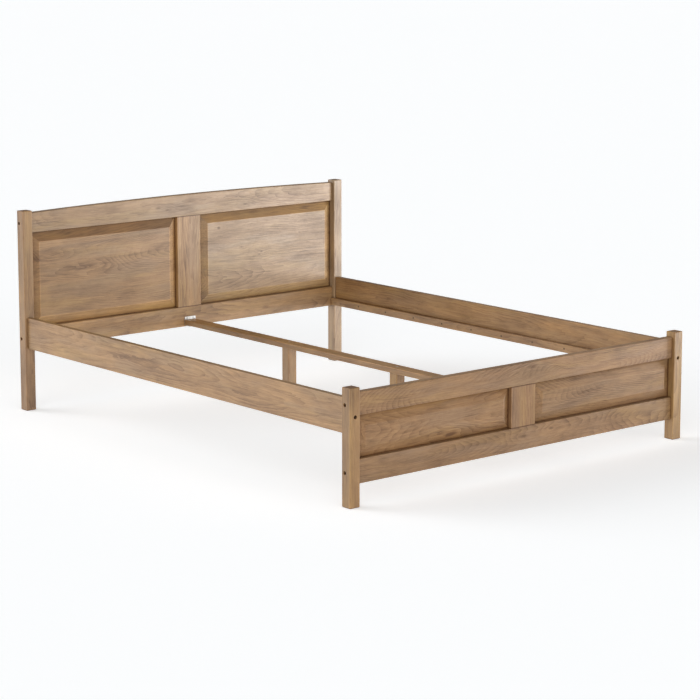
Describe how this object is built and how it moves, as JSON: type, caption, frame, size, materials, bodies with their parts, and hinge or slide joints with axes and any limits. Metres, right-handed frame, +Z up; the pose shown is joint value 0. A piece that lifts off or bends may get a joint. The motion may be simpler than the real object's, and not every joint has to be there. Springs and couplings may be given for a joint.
{
  "type": "panel bed frame",
  "caption": "Low wooden bed frame with raised-panel headboard and footboard, side rails with slat ledges, and a centre beam on legs. Shown without slats or mattress.",
  "frame": {"origin": "on the floor, under the middle of the bed's outer box", "axes": "+X across the bed, +Y from the foot to the head, +Z up"},
  "size_m": [1.68, 2.1, 0.8244],
  "materials": {
    "frame_wood": "stained and lacquered, satin",
    "panel_wood": "stained and lacquered, satin",
    "support_wood": "stained, satin",
    "dowel_wood": "bare",
    "zinc_steel": "zinc plated",
    "dark_steel": "dark phosphate"
  },
  "bodies": {
    "root": {"head_post_left": "frame_wood", "head_post_right": "frame_wood", "foot_post_left": "frame_wood", "foot_post_right": "frame_wood", "head_top_rail": "frame_wood", "head_bottom_rail": "frame_wood", "head_center_stile": "frame_wood", "foot_top_rail": "frame_wood", "foot_bottom_rail": "frame_wood", "foot_center_stile": "frame_wood", "side_rail_left": "frame_wood", "side_rail_right": "frame_wood", "head_panel_left": "panel_wood", "head_panel_right": "panel_wood", "foot_panel_left": "panel_wood", "foot_panel_right": "panel_wood", "ledge_left": "support_wood", "ledge_right": "support_wood", "center_beam": "support_wood", "beam_leg_head": "support_wood", "beam_leg_foot": "support_wood", "headboard_dowels": "dowel_wood", "footboard_dowels": "dowel_wood", "side_rail_dowels": "dowel_wood", "beam_bracket_head": "zinc_steel", "beam_bracket_foot": "zinc_steel", "bracket_screws": "zinc_steel", "beam_leg_screws": "zinc_steel", "headboard_inserts": "zinc_steel", "footboard_inserts": "zinc_steel", "side_rail_inserts": "zinc_steel", "ledge_screws_left": "dark_steel", "ledge_screws_right": "dark_steel", "headboard_bolts": "dark_steel", "footboard_bolts": "dark_steel", "side_rail_bolts": "dark_steel"}
  },
  "joints": []
}
